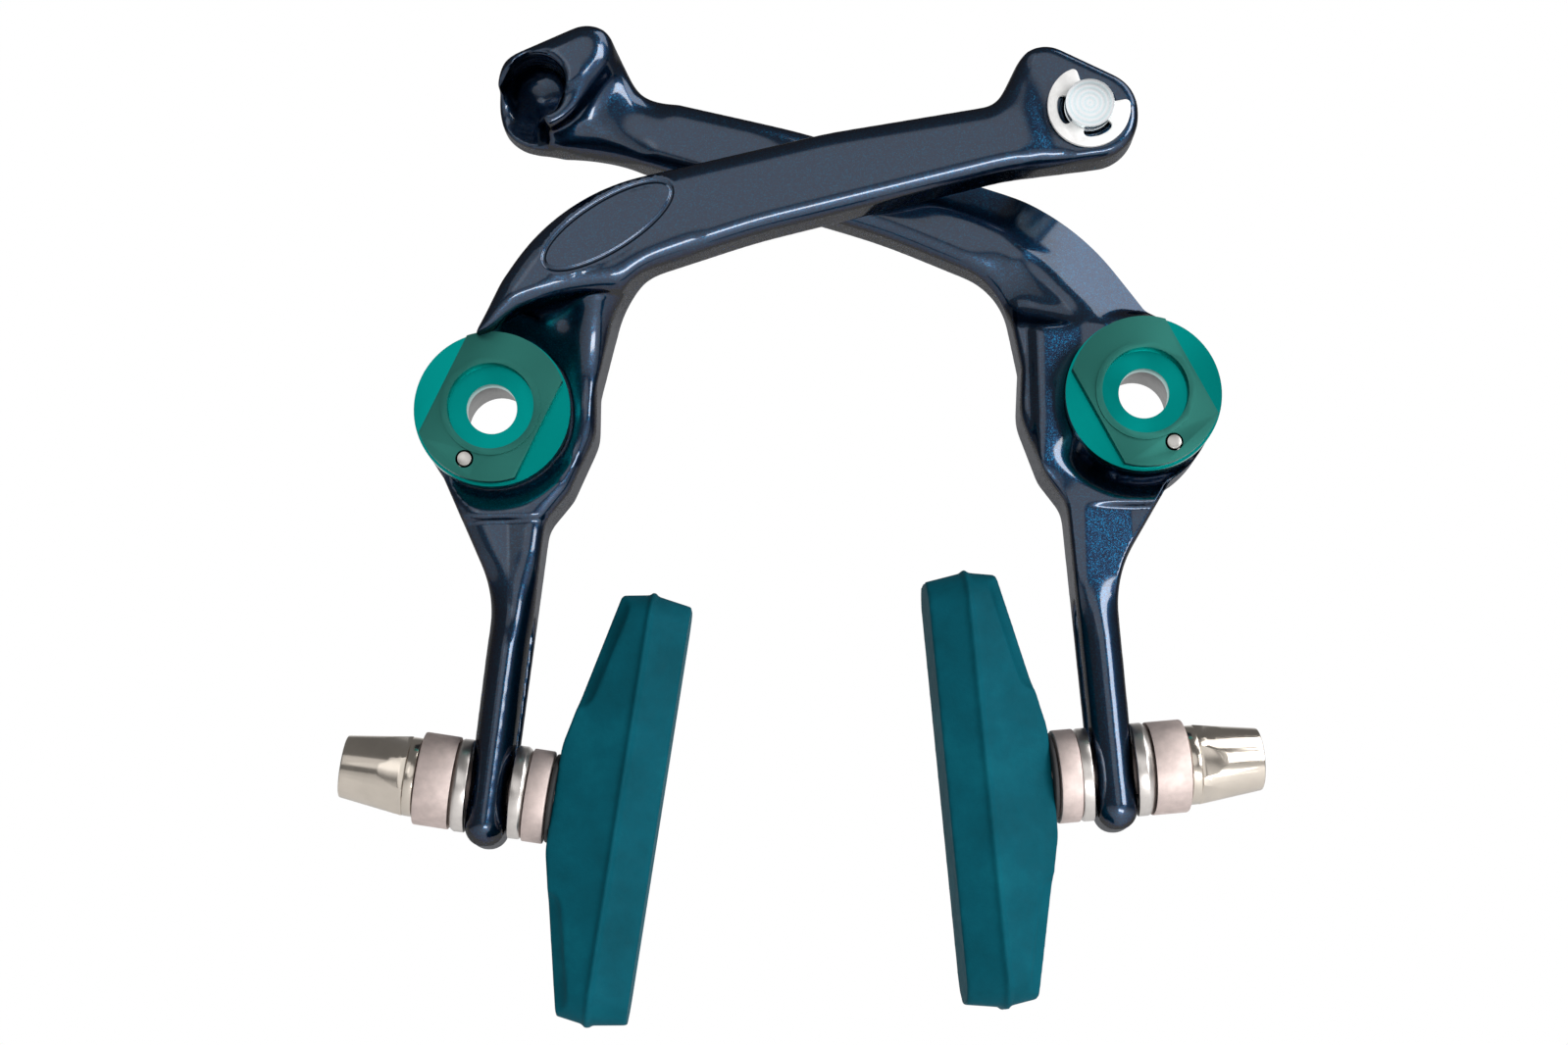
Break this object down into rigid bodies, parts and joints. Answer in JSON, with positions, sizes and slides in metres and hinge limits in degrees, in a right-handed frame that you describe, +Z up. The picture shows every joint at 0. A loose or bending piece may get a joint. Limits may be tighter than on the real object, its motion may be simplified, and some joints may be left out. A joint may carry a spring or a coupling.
{
  "type": "bicycle u-brake",
  "caption": "Rim brake of two crossing forged arms on pivots, with green spring adjusters and slotted legs that carry rubber shoes on threaded posts.",
  "frame": {"origin": "midway between the two pivot axes, on the plane of the bushes' back ends, where the brake meets the frame", "axes": "+Z up towards the crossing of the arms, +X from the front arm's pivot to the rear arm's pivot, -Y out of the front, away from the frame"},
  "size_m": [0.1141, 0.0238, 0.1238],
  "materials": {
    "arm_enamel": "gloss with blue metal flake",
    "green_anodised": "satin anodised",
    "pad_rubber": "moulded, dull",
    "black_rubber": "dull",
    "pale_ring": "dull",
    "spring_steel": "bright drawn wire",
    "bush_steel": "ground",
    "dome_steel": "turned",
    "cup_steel": "tumbled",
    "nickel": "warm bright plate",
    "zinc_steel": "turned, zinc plated",
    "clip_steel": "stamped"
  },
  "bodies": {
    "pivots": {"pivot_bush_left": "bush_steel", "pivot_bush_right": "bush_steel"},
    "front_arm": {"front_arm": "arm_enamel"},
    "rear_arm": {"rear_arm": "arm_enamel"},
    "cable_anchor": {"cable_anchor_pin": "zinc_steel", "anchor_clip": "clip_steel"},
    "adjuster_left": {"spring_adjuster_left": "green_anodised", "seal_ring_left": "pale_ring", "return_spring_left": "spring_steel"},
    "adjuster_right": {"spring_adjuster_right": "green_anodised", "seal_ring_right": "pale_ring", "return_spring_right": "spring_steel"},
    "seat_left": {"inner_dome_washer_left": "dome_steel", "outer_dome_washer_left": "dome_steel"},
    "cups_left": {"inner_cup_washer_left": "cup_steel", "outer_cup_washer_left": "cup_steel"},
    "shoe_left": {"pad_ring_left": "black_rubber", "brake_pad_left": "pad_rubber", "pad_post_left": "cup_steel", "nut_washer_left": "nickel", "cap_nut_left": "nickel"},
    "seat_right": {"inner_dome_washer_right": "dome_steel", "outer_dome_washer_right": "dome_steel"},
    "cups_right": {"inner_cup_washer_right": "cup_steel", "outer_cup_washer_right": "cup_steel"},
    "shoe_right": {"pad_ring_right": "black_rubber", "brake_pad_right": "pad_rubber", "pad_post_right": "cup_steel", "nut_washer_right": "nickel", "cap_nut_right": "nickel"}
  },
  "joints": [
    {"name": "front_arm_pivot", "type": "hinge", "parent": "pivots", "child": "front_arm", "pos_m": [-0.04, 0, 0], "axis": [0, -1, 0], "range_deg": [-4, 9], "stiffness_Nm_per_rad": 0.6, "deforming": ["return_spring_left"]},
    {"name": "rear_arm_pivot", "type": "hinge", "parent": "pivots", "child": "rear_arm", "pos_m": [0.04, 0, 0], "axis": [0, 1, 0], "range_deg": [-7, 5], "stiffness_Nm_per_rad": 0.6, "deforming": ["return_spring_right"]},
    {"name": "adjuster_left_turn", "type": "hinge", "parent": "pivots", "child": "adjuster_left", "pos_m": [-0.04, 0, 0], "axis": [0, -1, 0], "range_deg": [-30, 60], "deforming": ["return_spring_left"]},
    {"name": "adjuster_right_turn", "type": "hinge", "parent": "pivots", "child": "adjuster_right", "pos_m": [0.04, 0, 0], "axis": [0, 1, 0], "range_deg": [-30, 60], "deforming": ["return_spring_right"]},
    {"name": "cable_anchor_swivel", "type": "hinge", "parent": "front_arm", "child": "cable_anchor", "pos_m": [0.034, -0.0094, 0.0347], "axis": [0, -1, 0], "continuous": true},
    {"name": "shoe_left_height", "type": "slide", "parent": "front_arm", "child": "seat_left", "axis": [0.1478, 0, 0.989], "range_m": [-0.001, 0.013]},
    {"name": "shoe_left_toe", "type": "hinge", "parent": "seat_left", "child": "cups_left", "pos_m": [-0.0413, -0.0072, -0.046], "axis": [0.1478, 0, 0.989], "range_deg": [-7, 7]},
    {"name": "shoe_left_turn", "type": "hinge", "parent": "cups_left", "child": "shoe_left", "pos_m": [-0.0413, -0.0072, -0.046], "axis": [-0.9845, 0, 0.1754], "continuous": true},
    {"name": "shoe_right_height", "type": "slide", "parent": "rear_arm", "child": "seat_right", "axis": [-0.0698, 0, 0.9976], "range_m": [-0.001, 0.013]},
    {"name": "shoe_right_toe", "type": "hinge", "parent": "seat_right", "child": "cups_right", "pos_m": [0.0351, -0.0072, -0.04576], "axis": [-0.0698, 0, 0.9976], "range_deg": [-12, 2]},
    {"name": "shoe_right_turn", "type": "hinge", "parent": "cups_right", "child": "shoe_right", "pos_m": [0.0351, -0.0072, -0.04576], "axis": [0.9938, 0.0872, 0.0695], "continuous": true}
  ]
}
